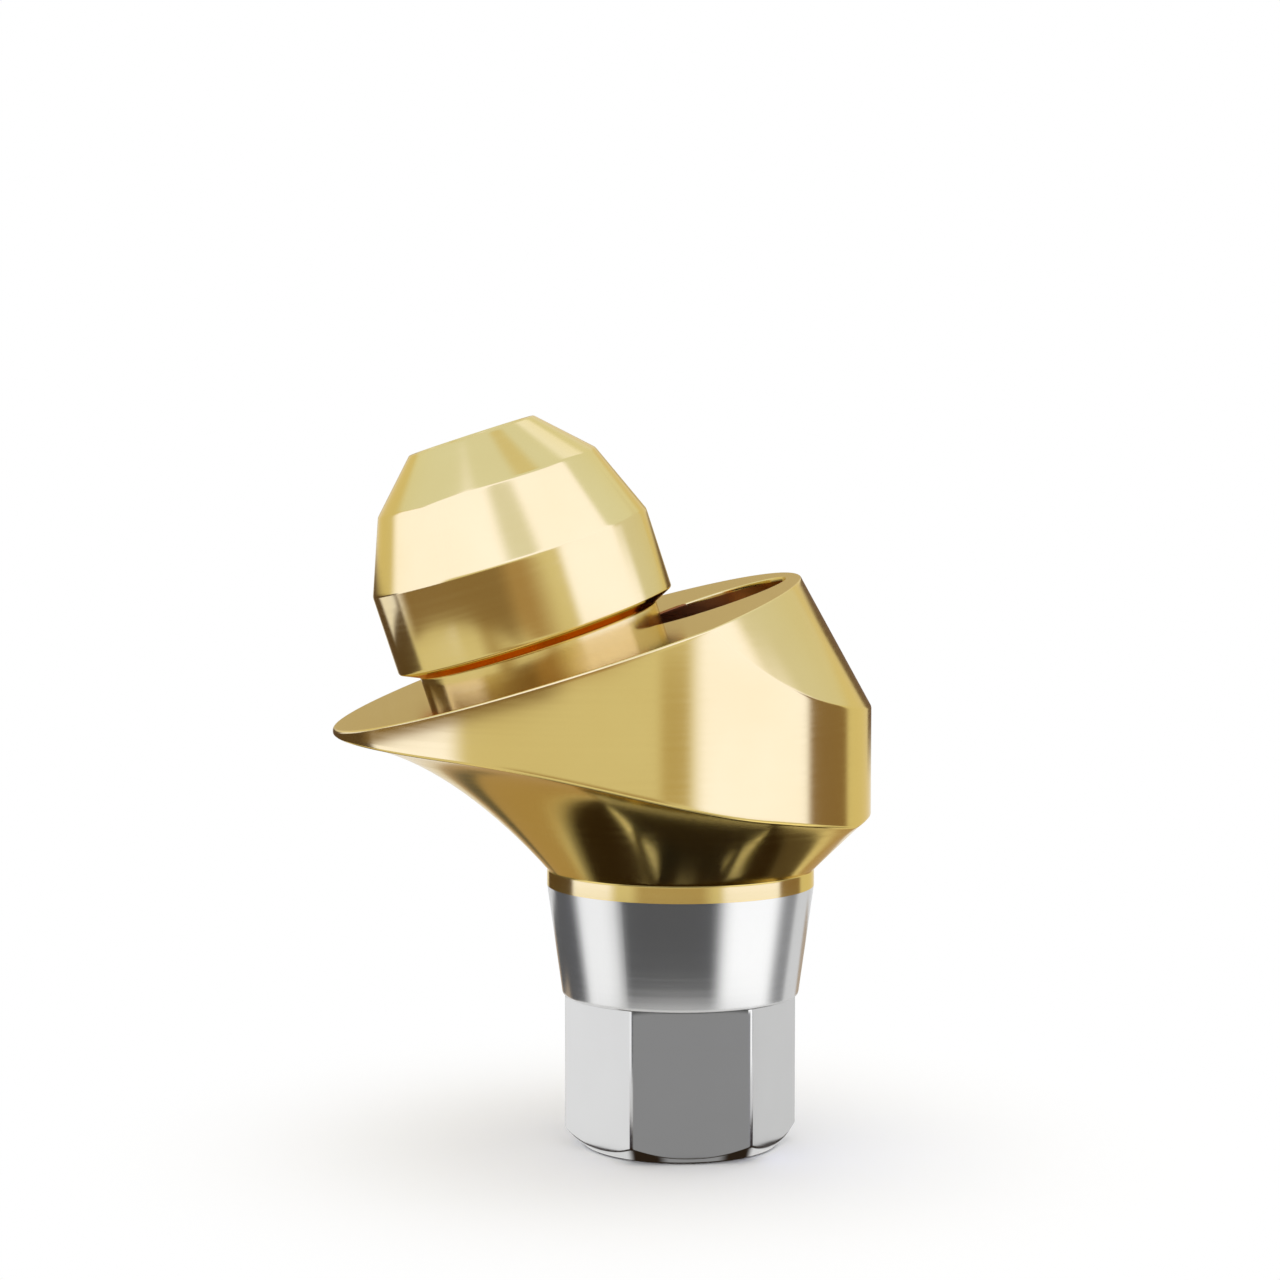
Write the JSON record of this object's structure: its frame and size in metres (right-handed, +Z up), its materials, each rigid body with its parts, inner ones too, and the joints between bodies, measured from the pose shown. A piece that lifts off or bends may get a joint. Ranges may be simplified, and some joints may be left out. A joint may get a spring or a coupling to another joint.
{
  "type": "dental abutment",
  "caption": "Angled screw-retained abutment: hexagonal pin and bare cone that seat in an implant, flared gold-coated collar, tilted seat and undercut head for a bridge.",
  "frame": {"origin": "on the implant's axis, where the gold band meets the top of the bare cone", "axes": "+Z runs up the implant's axis from the hexagonal pin to the head, the head leans toward -X, the high side of the collar faces +X, and the part is symmetric about the XZ plane"},
  "size_m": [0.0065, 0.0066, 0.009],
  "materials": {
    "gold_coated_titanium": "machined titanium with a gold titanium-nitride coat, bare on the cone and the hexagonal pin"
  },
  "bodies": {
    "root": {"abutment_body": "gold_coated_titanium"}
  },
  "joints": []
}
